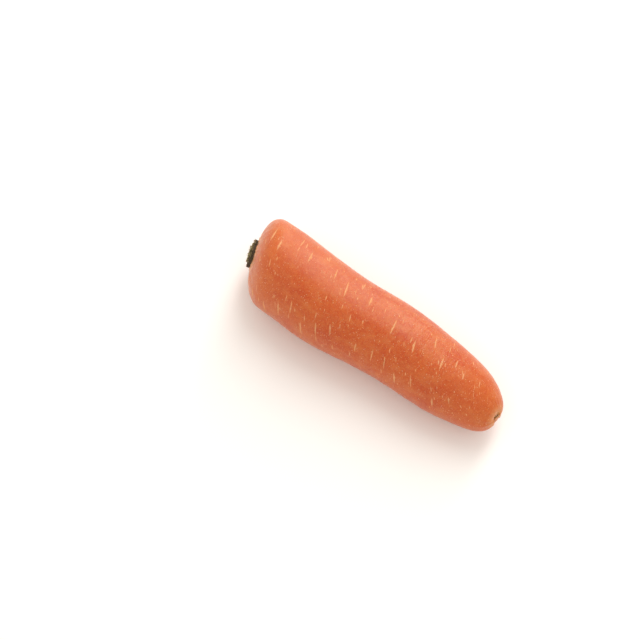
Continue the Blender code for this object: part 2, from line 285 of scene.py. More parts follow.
def wrap_skin(tree, sizes):
    """The bare skin: a grid of rings thrown out onto the solid, closed at its seam and its poles."""
    points_round = add_node(tree, "ShaderNodeMath", {0: sizes["Points round"], 1: 1.0}, operation="ADD")
    grid = add_node(
        tree,
        "GeometryNodeMeshGrid",
        {"Size X": 1.0, "Size Y": 1.0, "Vertices X": sizes["Rings"], "Vertices Y": points_round},
    )
    place = add_node(tree, "GeometryNodeInputPosition")
    shares = add_node(tree, "ShaderNodeVectorMath", {0: place, 1: (0.5, 0.5, 0.0)}, operation="ADD")
    part = add_node(tree, "ShaderNodeSeparateXYZ", {0: shares})
    along, round_share = part.outputs["X"], part.outputs["Y"]

    in_well = add_node(tree, "ShaderNodeMapRange", {0: along, 1: 0.0, 2: WELL_SHARE})
    in_shoulder = add_node(tree, "ShaderNodeMapRange", {0: along, 1: WELL_SHARE, 2: SHOULDER_SHARE})
    in_body = add_node(tree, "ShaderNodeMapRange", {0: along, 1: SHOULDER_SHARE, 2: BODY_SHARE})
    in_tip = add_node(tree, "ShaderNodeMapRange", {0: along, 1: BODY_SHARE, 2: 1.0})
    squared = add_node(
        tree, "ShaderNodeMapRange", {0: in_body, 2: TURN_FADES}, interpolation_type="SMOOTHSTEP"
    )
    turned = add_node(tree, "ShaderNodeMath", {0: 1.0, 1: squared}, operation="SUBTRACT")
    turn = add_node(
        tree, "ShaderNodeVectorMath", {0: tuple(crown_turn), "Scale": turned}, operation="SCALE"
    )

    # the angle round the root starts underneath, where the seam is least seen
    angle = add_node(tree, "ShaderNodeMapRange", {0: round_share, 3: -math.pi / 2, 4: 1.5 * math.pi})
    aside = add_node(tree, "ShaderNodeMath", {0: angle}, operation="COSINE")
    upward = add_node(tree, "ShaderNodeMath", {0: angle}, operation="SINE")
    spoke = add_node(tree, "ShaderNodeCombineXYZ", {"Y": aside, "Z": upward})

    # the lean of a ray: towards the crown at the shoulder, towards the tip at the other end
    crownward = add_node(tree, "ShaderNodeMapRange", {0: in_shoulder, 3: LIP_LEAN, 4: 0.0})
    tipward = add_node(tree, "ShaderNodeMath", {0: in_tip, 1: math.pi / 2}, operation="MULTIPLY")
    lean = add_node(tree, "ShaderNodeMath", {0: tipward, 1: crownward}, operation="SUBTRACT")
    outward = add_node(tree, "ShaderNodeMath", {0: lean}, operation="COSINE")
    forward = add_node(tree, "ShaderNodeMath", {0: lean}, operation="SINE")
    reach = add_node(tree, "ShaderNodeVectorMath", {0: spoke, "Scale": outward}, operation="SCALE")
    ahead = add_node(tree, "ShaderNodeCombineXYZ", {"X": forward})
    ray = add_node(tree, "ShaderNodeVectorMath", {0: reach, 1: ahead}, operation="ADD")
    ray = add_node(
        tree, "ShaderNodeVectorRotate", {"Vector": ray, "Rotation": turn}, rotation_type="EULER_XYZ"
    )
    first = tuple(crown_middle - crown_outward * SHOULDER_INSET)
    last = tuple(tip_end - Vector((TIP_INSET, 0.0, 0.0)))
    start = add_node(tree, "ShaderNodeMix", {0: in_body, 4: first, 5: last}, data_type="VECTOR")

    # the solid's triangles are joined and rounded before the rays meet it
    solid = add_node(tree, "GeometryNodeObjectInfo", {"Object": sizes["Solid"]})
    joined = add_node(
        tree, "GeometryNodeMergeByDistance", {"Geometry": solid.outputs["Geometry"], "Distance": JOIN_SOLID}
    )
    rounded = add_node(tree, "GeometryNodeSubdivisionSurface", {"Mesh": joined, "Level": 2})
    cast = add_node(
        tree,
        "GeometryNodeRaycast",
        {
            "Target Geometry": rounded, "Source Position": start, "Ray Direction": ray,
            "Ray Length": RAY_LENGTH,
        },
    )

    # the well's wall and floor, drawn from the middle of the crown
    well = {}
    for name, points in WELL_CURVES.items():
        well[name] = add_node(tree, "ShaderNodeFloatCurve", {"Value": in_well})
        curve = well[name].mapping.curves[0]
        curve.points[0].location, curve.points[-1].location = points[0], points[-1]
        for point in points[1:-1]:
            curve.points.new(*point)
        well[name].mapping.update()
    far_out = add_node(
        tree, "ShaderNodeMath", {0: well["outward"], 1: WELL_RADIUS + LIP}, operation="MULTIPLY"
    )
    deep = add_node(tree, "ShaderNodeMath", {0: well["down"], 1: WELL_DEPTH}, operation="MULTIPLY")
    well_spoke = add_node(tree, "ShaderNodeVectorMath", {0: spoke, "Scale": far_out}, operation="SCALE")
    inward = add_node(tree, "ShaderNodeCombineXYZ", {"X": deep})
    well_point = add_node(tree, "ShaderNodeVectorMath", {0: well_spoke, 1: inward}, operation="ADD")
    well_point = add_node(
        tree, "ShaderNodeVectorRotate", {"Vector": well_point, "Rotation": turn}, rotation_type="EULER_XYZ"
    )
    well_point = add_node(
        tree, "ShaderNodeVectorMath", {0: well_point, 1: tuple(crown_middle)}, operation="ADD"
    )
    outside = add_node(
        tree, "FunctionNodeCompare", {0: in_well, 1: WELL_ENDS}, data_type="FLOAT", operation="GREATER_THAN"
    )
    landed = add_node(
        tree,
        "GeometryNodeSwitch",
        {0: outside, 1: well_point, 2: cast.outputs["Hit Position"]},
        input_type="VECTOR",
    )
    marked = add_node(
        tree, "GeometryNodeStoreNamedAttribute", {"Geometry": grid, "Name": "along", "Value": along}
    )
    wrapped = add_node(tree, "GeometryNodeSetPosition", {"Geometry": marked, "Position": landed})
    return add_node(tree, "GeometryNodeMergeByDistance", {"Geometry": wrapped, "Distance": JOIN_SKIN})


print("the rays lean", round(math.degrees(LIP_LEAN)), "degrees at the crown's lip")

# %% [markdown]
# A real root isn't smooth. It has low swellings, shallow dents, and fine creases that run across it where
# it thickened in the soil. Each is noise of its own size, pushed along the surface's normal. Noise that
# is squeezed along the root makes creases that run round it. At both ends the skin is drawn in, so noise
# of the direction from the end's middle folds it like the mouth of a sack.

# %% Swellings, dents, creases and folds
# what it is: (size along the root, size round it, height), all in metres
SKIN_RELIEF = {
    "swellings": (26 * MM, 22 * MM, 0.45 * MM),
    "dents": (8 * MM, 9 * MM, 0.16 * MM),
    "creases": (1.7 * MM, 13 * MM, 0.10 * MM),
    "pores": (0.9 * MM, 1.6 * MM, 0.045 * MM),
}
TIP_FOLDS = (0.90, 0.99)  # shares of the rings where the folds at the tip begin and are full
TAIL_PIT = (0.970, 0.995)  # shares of the rings where the tail's pit begins and is full
PIT_DEPTH = 0.6 * MM
FOLD_SCALE, FOLD_SINKS, FOLD_RISES = 3.2, 0.45 * MM, 0.35 * MM


def push_out(tree, geometry, distance):
    """Moves the surface along its own normal by this distance."""
    normal = add_node(tree, "GeometryNodeInputNormal")
    offset = add_node(tree, "ShaderNodeVectorMath", {0: normal, "Scale": distance}, operation="SCALE")
    return add_node(tree, "GeometryNodeSetPosition", {"Geometry": geometry, "Offset": offset})


def raise_relief(tree, geometry):
    """Adds every layer of SKIN_RELIEF to the skin."""
    for along, across, height in SKIN_RELIEF.values():
        place = add_node(tree, "GeometryNodeInputPosition")
        stretched = add_node(
            tree,
            "ShaderNodeVectorMath",
            {0: place, 1: (1 / along, 1 / across, 1 / across)},
            operation="MULTIPLY",
        )
        noise = add_node(tree, "ShaderNodeTexNoise", {"Vector": stretched, "Scale": 1.0, "Detail": 2.0})
        depth = add_node(tree, "ShaderNodeMapRange", {0: noise, 3: -height, 4: height})
        geometry = push_out(tree, geometry, depth)
    return geometry


def pucker_ends(tree, geometry):
    """Radial folds where the skin draws in to the crown's lip and to the stump of the tail root."""
    along = add_node(tree, "GeometryNodeInputNamedAttribute", {"Name": "along"})
    at_crown = add_node(tree, "ShaderNodeMapRange", {0: along, 1: SHOULDER_SHARE, 2: WELL_SHARE})
    at_tip = add_node(tree, "ShaderNodeMapRange", {0: along, 1: TIP_FOLDS[0], 2: TIP_FOLDS[1]})
    tip_half = add_node(tree, "ShaderNodeMath", {0: along, 1: 0.5}, operation="GREATER_THAN")
    centre = add_node(
        tree, "ShaderNodeMix", {0: tip_half, 4: tuple(crown_middle), 5: tuple(tip_end)}, data_type="VECTOR"
    )
    place = add_node(tree, "GeometryNodeInputPosition")
    away = add_node(tree, "ShaderNodeVectorMath", {0: place, 1: centre}, operation="SUBTRACT")
    away = add_node(tree, "ShaderNodeVectorMath", {0: away, 1: (0.0, 1.0, 1.0)}, operation="MULTIPLY")
    direction = add_node(tree, "ShaderNodeVectorMath", {0: away}, operation="NORMALIZE")
    folds = add_node(tree, "ShaderNodeTexNoise", {"Vector": direction, "Scale": FOLD_SCALE, "Detail": 2.0})
    folds = add_node(
        tree, "ShaderNodeMapRange", {0: folds, 1: 0.3, 2: 0.7, 3: -FOLD_SINKS, 4: FOLD_RISES}
    )
    where = add_node(tree, "ShaderNodeMath", {0: at_crown, 1: at_tip}, operation="MAXIMUM")
    depth = add_node(tree, "ShaderNodeMath", {0: folds, 1: where}, operation="MULTIPLY")
    geometry = push_out(tree, geometry, depth)
    pit = add_node(
        tree, "ShaderNodeMapRange", {0: along, 1: TAIL_PIT[0], 2: TAIL_PIT[1], 3: 0.0, 4: -PIT_DEPTH}
    )
    return push_out(tree, geometry, pit)


print("relief layers:", ", ".join(SKIN_RELIEF), "and folds at both ends")

# %% [markdown]
# ## Root scars
#
# A carrot's side roots grow in four lines down the root. Where they came out, each leaves a lens-shaped
# scar across the root: a sunken, corky, pale slit with slightly raised lips, 6 to 13 mm long. Finer ones
# are scattered between. A real groove catches the light at its rim, so they are carved, but their fine
# edges need colour sharper than the mesh. One function therefore draws the scars, and both the geometry
# tree and the skin's material call it. It unrolls the skin flat and puts one scar in each cell of a
# Voronoi pattern, whose random colour gives that scar its length, width and slant.

# %% Drawing the scars
SKIN_AXIS = Vector((0.0, carrot_middle.y + 1.0 * MM, 26.0 * MM))
SKIN_RADIUS = 23 * MM
SCARS_FULL, SCARS_END = 74 * MM, 81 * MM  # how far from the middle the scars start to fade, and are gone
WANDER_SIZE, WANDER = 0.9 * MM, 0.25 * MM  # how finely and how far a scar's edge wanders
NARROWEST = 0.02 * MM  # half width that a slit keeps at its two ends
SLIT_EDGE, LIP_TOP, LIP_EDGE = 1.6, 0.8, 10.0  # squares of a distance off the slit, in half widths
LIP_HEIGHT = 0.3  # as a share of the slit's depth
# gap is along the root and rows are round it; kept is the share of the cells that have a scar
SCAR_KINDS = {
    "side_root_scars": dict(
        gap=8.5 * MM, rows=4, first_row=math.radians(-40.0), looseness=0.45, half_length=(2.8 * MM, 6.4 * MM),
        half_width=(0.15 * MM, 0.34 * MM), depth=0.34 * MM, slant=(-0.42, -0.12), kept=0.90,
    ),
    "fine_scars": dict(
        gap=5.0 * MM, rows=12, first_row=0.0, looseness=1.0, half_length=(0.6 * MM, 2.6 * MM),
        half_width=(0.08 * MM, 0.16 * MM), depth=0.10 * MM, slant=(-0.5, 0.0), kept=0.60,
    ),
}


def draw_scars(tree, place, kind):
    """How deep in a scar's slit, and how high on its lips, this place on the skin is, from 0 to 1."""
    off_axis = add_node(tree, "ShaderNodeVectorMath", {0: place, 1: tuple(SKIN_AXIS)}, operation="SUBTRACT")
    part = add_node(tree, "ShaderNodeSeparateXYZ", {0: off_axis})
    towards = add_node(tree, "ShaderNodeMath", {0: part.outputs["Y"], 1: -1.0}, operation="MULTIPLY")
    angle = add_node(tree, "ShaderNodeMath", {0: towards, 1: part.outputs["Z"]}, operation="ARCTAN2")
    angle = add_node(tree, "ShaderNodeMath", {0: angle, 1: kind["first_row"]}, operation="SUBTRACT")
    ragged = add_node(tree, "ShaderNodeTexNoise", {"Vector": place, "Scale": 1 / WANDER_SIZE, "Detail": 1.0})
    ragged = add_node(tree, "ShaderNodeMapRange", {0: ragged, 3: -WANDER, 4: WANDER})
    along = add_node(tree, "ShaderNodeMath", {0: part.outputs["X"], 1: ragged}, operation="ADD")
    flat = add_node(tree, "ShaderNodeCombineXYZ", {"X": along, "Y": angle})
    pitch = (kind["gap"], 2 * math.pi / kind["rows"], 1.0)
    cell_place = add_node(tree, "ShaderNodeVectorMath", {0: flat, 1: pitch}, operation="DIVIDE")
    cells = add_node(
        tree,
        "ShaderNodeTexVoronoi",
        {"Vector": cell_place, "Scale": 1.0, "Randomness": kind["looseness"]},
        voronoi_dimensions="2D",
    )
    away = add_node(
        tree, "ShaderNodeVectorMath", {0: cell_place, 1: cells.outputs["Position"]}, operation="SUBTRACT"
    )
    flat_pitch = (kind["gap"], 2 * math.pi * SKIN_RADIUS / kind["rows"], 0.0)
    away = add_node(tree, "ShaderNodeVectorMath", {0: away, 1: flat_pitch}, operation="MULTIPLY")
    away = add_node(tree, "ShaderNodeSeparateXYZ", {0: away})
    chance = add_node(tree, "ShaderNodeSeparateXYZ", {0: cells.outputs["Color"]})
    drawn = {}
    for socket, label in (("X", "half_length"), ("Y", "half_width"), ("Z", "slant")):
        low, high = kind[label]
        drawn[label] = add_node(tree, "ShaderNodeMapRange", {0: chance.outputs[socket], 3: low, 4: high})
    skewed = add_node(
        tree, "ShaderNodeMath", {0: away.outputs["Y"], 1: drawn["slant"], 2: away.outputs["X"]},
        operation="MULTIPLY_ADD",
    )

    # the lens: full in its middle, nothing at its two ends, and left out in some cells and off the body
    share = add_node(
        tree, "ShaderNodeMath", {0: away.outputs["Y"], 1: drawn["half_length"]}, operation="DIVIDE"
    )
    share = add_node(tree, "ShaderNodeMath", {0: share, 1: share}, operation="MULTIPLY")
    lens = add_node(tree, "ShaderNodeMath", {0: 1.0, 1: share}, operation="SUBTRACT", use_clamp=True)
    kept = add_node(tree, "ShaderNodeMath", {0: chance.outputs["Z"], 1: kind["kept"]}, operation="LESS_THAN")
    lens = add_node(tree, "ShaderNodeMath", {0: lens, 1: kept}, operation="MULTIPLY")
    from_middle = add_node(tree, "ShaderNodeMath", {0: part.outputs["X"]}, operation="ABSOLUTE")
    on_body = add_node(tree, "ShaderNodeMapRange", {0: from_middle, 1: SCARS_END, 2: SCARS_FULL})
    lens = add_node(tree, "ShaderNodeMath", {0: lens, 1: on_body}, operation="MULTIPLY")
    width = add_node(
        tree, "ShaderNodeMath", {0: drawn["half_width"], 1: lens, 2: NARROWEST}, operation="MULTIPLY_ADD"
    )
    off = add_node(tree, "ShaderNodeMath", {0: skewed, 1: width}, operation="DIVIDE")
    off = add_node(tree, "ShaderNodeMath", {0: off, 1: off}, operation="MULTIPLY")
    slit = add_node(tree, "ShaderNodeMapRange", {0: off, 1: 0.0, 2: SLIT_EDGE, 3: 1.0, 4: 0.0})
    slit = add_node(tree, "ShaderNodeMath", {0: slit, 1: lens}, operation="MULTIPLY")
    lip = add_node(tree, "ShaderNodeMapRange", {0: off, 1: LIP_TOP, 2: LIP_EDGE, 3: 1.0, 4: 0.0})
    lip = add_node(tree, "ShaderNodeMath", {0: lip, 1: lens}, operation="MULTIPLY")
    return slit, lip


def carve_scars(tree, geometry, kind):
    """Sinks the skin into each slit and raises its lips."""
    slit, lip = draw_scars(tree, add_node(tree, "GeometryNodeInputPosition"), kind)
    raised = add_node(tree, "ShaderNodeMath", {0: lip, 1: LIP_HEIGHT}, operation="MULTIPLY")
    profile = add_node(tree, "ShaderNodeMath", {0: raised, 1: slit}, operation="SUBTRACT")
    depth = add_node(tree, "ShaderNodeMath", {0: profile, 1: kind["depth"]}, operation="MULTIPLY")
    return push_out(tree, geometry, depth)


def rest_on_table(tree, geometry):
    """Keeps the relief on the underside from going below the table."""
    part = add_node(tree, "ShaderNodeSeparateXYZ", {0: add_node(tree, "GeometryNodeInputPosition")})
    lifted = add_node(tree, "ShaderNodeMath", {0: part.outputs["Z"], 1: 0.0}, operation="MAXIMUM")
    place = add_node(
        tree, "ShaderNodeCombineXYZ", {"X": part.outputs["X"], "Y": part.outputs["Y"], "Z": lifted}
    )
    return add_node(tree, "GeometryNodeSetPosition", {"Geometry": geometry, "Position": place})


print("kinds of scar:", ", ".join(SCAR_KINDS))

# %% [markdown]
# ## What the skin is made of
#
# Fresh carrot skin is periderm: a thin, waxy, slightly clear layer over orange flesh. Light goes a few
# millimetres into it, which is why a carrot glows and has no hard shadows, and the wax gives a broad,
# soft sheen. The colour isn't even. It is deeper in some patches, paler and pinker at the shoulder, ochre
# at the tip, and dotted all over with pale lenticels, the pores that the root breathes through. Finer
# pale specks are partly real flecks and partly painted glints of the sheen. The crown's well is brown
# and darker towards its floor: partly dry tissue and partly painted shade. The layers below are laid on
# one after another, each through a mask of its own size.

# %% Carrot skin
WAX_ROUGHNESS, CORK_ROUGHNESS = 0.32, 0.85
WAX_IOR = 1.42
PEEL_SIZE, PEEL_HEIGHT = 0.7 * MM, 0.18 * MM  # the fine grain that the wax lies over
BARE_CELLS, FAINTEST_DOT, DOT_EDGE = 0.30, 0.35, 0.14  # share of cells without a dot, and how a dot looks
DOT_SQUEEZE = (1.35, 0.8, 0.8)  # dots are narrower along the root than round it
LIGHT_GOES_IN = 3.0 * MM
RED_GREEN_BLUE_GO_IN = (1.0, 0.32, 0.12)  # red light goes furthest


def carrot_skin():
    """Waxy carrot periderm over orange flesh: soft sheen, pale lenticels, pale specks that are partly painted
    glints, corky scars, and a brown well with painted shade towards its floor.
    """
    material = bpy.data.materials.new("carrot_periderm")
    material.use_nodes = True
    tree = material.node_tree
    shader = tree.nodes["Principled BSDF"]
    place = add_node(tree, "ShaderNodeTexCoord").outputs["Object"]
    along = add_node(tree, "ShaderNodeAttribute", attribute_name="along").outputs["Fac"]

    # patchy pigment, a pale film of scuffed wax, finer mottling and grain, and hairlines round the root:
    # size along the root, size round it, and the noise at which the mask starts and is full
    masks = {}
    for name, size_along, size_round, low, high in (
        ("patches", 28 * MM, 20 * MM, 0.40, 0.66),
        ("film", 9.0 * MM, 4.5 * MM, 0.46, 0.72),
        ("mottling", 1.8 * MM, 2.2 * MM, 0.42, 0.70),
        ("grain", 0.45 * MM, 0.55 * MM, 0.48, 0.74),
        ("hairlines", 0.55 * MM, 5.5 * MM, 0.60, 0.78),
    ):
        sizes = (1 / size_along, 1 / size_round, 1 / size_round)
        scale = add_node(tree, "ShaderNodeMapping", {0: place, 3: sizes})
        noise = add_node(tree, "ShaderNodeTexNoise", {"Vector": scale, "Scale": 1.0, "Detail": 3.0})
        masks[name] = add_node(tree, "ShaderNodeMapRange", {0: noise, 1: low, 2: high})

    # lenticels and finer specks: one dot in each cell of a Voronoi pattern, of its own size, and none in many
    # cells; the finer pale specks are partly real flecks and partly painted glints of the wax sheen
    for name, cell, largest in (("lenticels", 1.9 * MM, 0.19), ("flecks_and_painted_glints", 0.90 * MM, 0.36)):
        squeeze = tuple(share / cell for share in DOT_SQUEEZE)
        scale = add_node(tree, "ShaderNodeMapping", {0: place, 3: squeeze})
        cells = add_node(tree, "ShaderNodeTexVoronoi", {"Vector": scale, "Scale": 1.0})
        chance = add_node(tree, "ShaderNodeSeparateColor", {0: cells.outputs["Color"]})
        size = add_node(
            tree, "ShaderNodeMapRange", {0: chance.outputs["Red"], 1: BARE_CELLS, 2: 1.0, 3: 0.0, 4: largest}
        )
        inside = add_node(
            tree, "ShaderNodeMath", {0: size, 1: cells.outputs["Distance"]}, operation="SUBTRACT"
        )
        dot = add_node(tree, "ShaderNodeMapRange", {0: inside, 1: 0.0, 2: DOT_EDGE})
        strength = add_node(
            tree, "ShaderNodeMapRange", {0: chance.outputs["Green"], 3: FAINTEST_DOT, 4: 1.0}
        )
        masks[name] = add_node(tree, "ShaderNodeMath", {0: dot, 1: strength}, operation="MULTIPLY")

    # each stretch of the root: the share of the rings at which it starts, and at which it is full
    for name, near, far in (
        ("shoulder", SHOULDER_SHARE + 0.10, WELL_SHARE),
        ("lip", WELL_SHARE + 0.035, WELL_SHARE + 0.004),
        # the well and its floor: brown dry tissue, with painted shade that darkens it towards the floor
        ("well", WELL_SHARE - 0.002, WELL_SHARE - 0.014),
        ("well_floor_dry_and_shaded", WELL_SHARE * 0.80, WELL_SHARE * 0.55),
        ("tip", 0.90, 1.0),
        ("tail_rim", 0.955, 0.978),
        ("tail_scar", 0.984, 0.994),
    ):
        masks[name] = add_node(tree, "ShaderNodeMapRange", {0: along, 1: near, 2: far})

    # the slits and lips of every kind of scar, as one mask
    masks["cork"] = 0.0
    for kind in SCAR_KINDS.values():
        slit, lip = draw_scars(tree, place, kind)
        faint = add_node(tree, "ShaderNodeMath", {0: lip, 1: 0.30}, operation="MULTIPLY")
        both = add_node(
            tree, "ShaderNodeMath", {0: slit, 1: 1.3, 2: faint}, operation="MULTIPLY_ADD", use_clamp=True
        )
        masks["cork"] = add_node(tree, "ShaderNodeMath", {0: both, 1: masks["cork"]}, operation="MAXIMUM")

    colour = add_node(
        tree,
        "ShaderNodeMix",
        {0: masks["patches"], 6: hex_colour("c05216"), 7: hex_colour("b73f03")},
        data_type="RGBA",
    )
    # what is laid over that, how thickly, and in which colour
    for name, share, tint in (
        ("film", 0.30, "cf8148"),
        ("mottling", 0.34, "cf6c28"),
        ("grain", 0.42, "dd8d52"),
        ("shoulder", 0.35, "d97f4a"),
        ("tip", 0.40, "cc7428"),
        ("hairlines", 0.35, "e29562"),
        # the finer pale specks: partly real flecks, partly painted glints of the wax sheen
        ("flecks_and_painted_glints", 0.90, "f6c59c"),
        ("lenticels", 0.85, "f7c9a0"),
        ("cork", 0.70, "ecbb88"),
        ("tail_rim", 0.45, "dba066"),
        ("tail_scar", 0.60, "b57d45"),
        ("lip", 0.75, "e2a982"),
        # the well's brown and its darker floor are partly dry tissue and partly painted shade in the recess
        ("well", 0.90, "9a5f33"),
        ("well_floor_dry_and_shaded", 0.95, "4a321c"),
    ):
        amount = add_node(tree, "ShaderNodeMath", {0: masks[name], 1: share}, operation="MULTIPLY")
        colour = add_node(
            tree, "ShaderNodeMix", {0: amount, 6: colour, 7: hex_colour(tint)}, data_type="RGBA"
        )
    tree.links.new(colour.outputs[2], shader.inputs["Base Color"])

    # cork and dry tissue are duller than wax
    dull = add_node(tree, "ShaderNodeMath", {0: masks["cork"], 1: masks["well"]}, operation="MAXIMUM")
    rough = add_node(tree, "ShaderNodeMapRange", {0: dull, 3: WAX_ROUGHNESS, 4: CORK_ROUGHNESS})
    tree.links.new(rough.outputs[0], shader.inputs["Roughness"])

    # a fine orange-peel grain, and lenticels that stand up from it
    grain = add_node(tree, "ShaderNodeTexNoise", {"Vector": place, "Scale": 1 / PEEL_SIZE, "Detail": 2.0})
    raised = add_node(
        tree, "ShaderNodeMath", {0: masks["lenticels"], 1: masks["flecks_and_painted_glints"]}, operation="MAXIMUM"
    )
    height = add_node(tree, "ShaderNodeMath", {0: grain, 1: raised}, operation="ADD")
    bump = add_node(tree, "ShaderNodeBump", {"Height": height, "Strength": 1.0, "Distance": PEEL_HEIGHT})
    tree.links.new(bump.outputs[0], shader.inputs["Normal"])

    shader.inputs["IOR"].default_value = WAX_IOR
    shader.inputs["Subsurface Weight"].default_value = 0.25
    shader.inputs["Subsurface Radius"].default_value = RED_GREEN_BLUE_GO_IN
    shader.inputs["Subsurface Scale"].default_value = LIGHT_GOES_IN
    return material


ROOT_SIZES = {"Solid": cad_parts["root"], "Rings": 620, "Points round": 150}
root_tree, root_inputs = new_geometry_tree("grow_root_skin", ROOT_SIZES)
skin_geometry = add_node(root_tree, "GeometryNodeFlipFaces", {0: wrap_skin(root_tree, root_inputs)})
skin_geometry = pucker_ends(root_tree, raise_relief(root_tree, skin_geometry))
for scar_kind in SCAR_KINDS.values():
    skin_geometry = carve_scars(root_tree, skin_geometry, scar_kind)
skin_geometry = rest_on_table(root_tree, skin_geometry)
finish_tree(root_tree, skin_geometry, carrot_skin())
root_skin = grow("root_skin", root_tree, ROOT_SIZES)
root_skin.data.shade_smooth()
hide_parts("root")
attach(root_skin, "root")

# %% [markdown]
# ## Cut leaf stalks
#
# A carrot's leaves grow from the middle of its crown, each a golden angle on from the last and each with
# a stalk whose foot is a crescent. Topping the carrot leaves a few millimetres of them. The inner ones are
# still olive green, and the outer ones have dried and turned brown. One recipe grows all of them. Each
# starts as a flat sheet: one way it is rolled into the crescent's cross-section, up the outside, over the cut
# and down the inside, and the other way it is bent along the arc and drawn thin at both ends. The cut
# is ragged, because the strands in the stalk tear a little rather than cut clean.

# %% Sizes of the leaf stalks
GOLDEN_ANGLE = math.radians(137.5)
FIRST_STALK_ANGLE = math.radians(90.2)
FRESH_SIZES = {
    "Count": 5, "First": 0.0, "First radius": 2.35 * MM, "Step": 0.72 * MM, "Thickness": 1.6 * MM,
    "Half angle": math.radians(68.0), "Height": 5.0 * MM, "Height varies": 0.3 * MM, "Ragged": 0.7 * MM,
    "Fibres": 90.0,
}
DRY_SIZES = {
    **FRESH_SIZES, "Count": 3, "First": 5.0, "Half angle": math.radians(76.0), "Height": 4.1 * MM,
    "Ragged": 1.4 * MM, "Fibres": 330.0,
}
HEART_SIZES = {
    "Count": 5, "First": 0.0, "First radius": 0.10 * MM, "Step": 0.26 * MM, "Thickness": 0.62 * MM,
    "Half angle": math.radians(85.0), "Height": 3.7 * MM, "Height varies": 0.4 * MM, "Ragged": 0.5 * MM,
    "Fibres": 0.0,
}
print("leaf stalks:", FRESH_SIZES["Count"], "fresh and", DRY_SIZES["Count"], "dry")

# %% [markdown]
# The crescents come first, then the loose strands that stick out of their torn cuts, most of them on the
# dry ones.

# %% Growing crescents and loose strands
FACES_ROUND, FACES_ALONG = 52, 40  # of the sheet, round the cross-section and along the arc
END_TAPER = 0.7  # a lower power keeps the two ends thicker
RIB_SCALE, THINNEST_RIB = 5.0, 0.78
TEAR_SCALE, TEAR_STARTS = 7.0, 4.0  # how fine the tear is, and how soon it comes in from the ends
NEAR_CUT = 0.80  # share of the height from which on strands stick out
STRAND_SIDES, STRAND_TOP, STRAND_FOOT, STRAND_LENGTH = 4, 0.02 * MM, 0.09 * MM, 1.0 * MM
STRAND_LEAN, SHORTEST, LONGEST = 0.55, 0.4, 1.3
STRAND_PLACES = 2.2 / MM**2  # for each square metre


